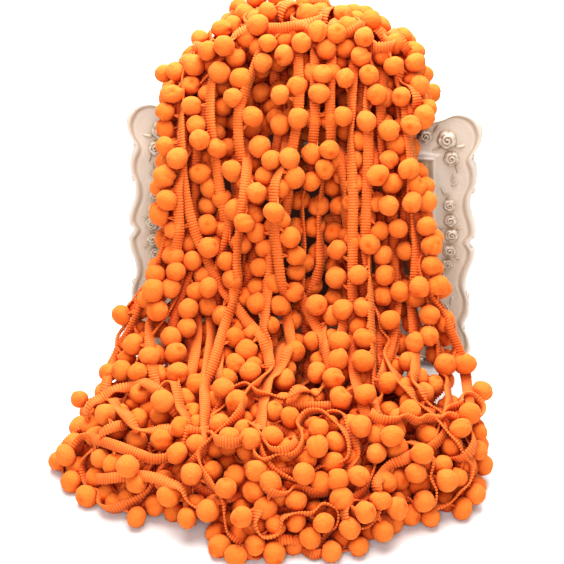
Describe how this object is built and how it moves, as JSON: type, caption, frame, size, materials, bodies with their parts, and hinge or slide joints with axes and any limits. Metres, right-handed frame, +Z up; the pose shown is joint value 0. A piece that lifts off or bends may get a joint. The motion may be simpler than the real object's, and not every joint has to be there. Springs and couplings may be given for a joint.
{
  "type": "pompom fringe trim draped over a picture frame",
  "caption": "Loose hank of pompom fringe trim, a ribbed braid with pompoms on one edge, hung over an easel picture frame and spilling into a heap in front of it.",
  "frame": {"origin": "middle of the picture frame's foot, on the surface it stands on", "axes": "+X along the frame's width, -Y towards the front where the trim heaps up, +Z up"},
  "size_m": [0.2767, 0.3284, 0.2426],
  "materials": {
    "braid": "ribbed woven braid",
    "pompom": "short cut pile",
    "resin": "pearly cast resin",
    "pane": "clear glazed print",
    "board": "matt board"
  },
  "bodies": {
    "root": {"braid_back_left": "braid", "braid_centre_fall": "braid", "braid_crest": "braid", "braid_heap_centre": "braid", "braid_heap_front": "braid", "braid_heap_left": "braid", "braid_heap_right": "braid", "braid_left_fall": "braid", "braid_left_skirt": "braid", "braid_right_fall": "braid", "braid_right_skirt": "braid", "frame_backing": "board", "frame_moulding": "resin", "frame_pane": "pane", "frame_strut": "board", "pompom_back_left_1": "pompom", "pompom_back_left_2": "pompom", "pompom_back_left_3": "pompom", "pompom_centre_fall_1": "pompom", "pompom_centre_fall_2": "pompom", "pompom_centre_fall_3": "pompom", "pompom_centre_fall_4": "pompom", "pompom_centre_fall_5": "pompom", "pompom_crest_1": "pompom", "pompom_crest_2": "pompom", "pompom_crest_3": "pompom", "pompom_heap_centre_1": "pompom", "pompom_heap_centre_2": "pompom", "pompom_heap_centre_3": "pompom", "pompom_heap_front_1": "pompom", "pompom_heap_front_2": "pompom", "pompom_heap_left_1": "pompom", "pompom_heap_left_2": "pompom", "pompom_heap_left_3": "pompom", "pompom_heap_right_1": "pompom", "pompom_heap_right_2": "pompom", "pompom_heap_right_3": "pompom", "pompom_left_fall_1": "pompom", "pompom_left_fall_2": "pompom", "pompom_left_fall_3": "pompom", "pompom_left_fall_4": "pompom", "pompom_left_fall_5": "pompom", "pompom_left_skirt_1": "pompom", "pompom_left_skirt_2": "pompom", "pompom_left_skirt_3": "pompom", "pompom_right_fall_1": "pompom", "pompom_right_fall_2": "pompom", "pompom_right_fall_3": "pompom", "pompom_right_fall_4": "pompom", "pompom_right_fall_5": "pompom", "pompom_right_skirt_1": "pompom", "pompom_right_skirt_2": "pompom", "pompom_right_skirt_3": "pompom", "pompom_rim_1": "pompom", "pompom_rim_2": "pompom", "pompom_rim_3": "pompom", "pompom_rim_4": "pompom", "pompom_rim_5": "pompom", "pompom_rim_6": "pompom", "trim_hank": "braid"}
  },
  "joints": []
}
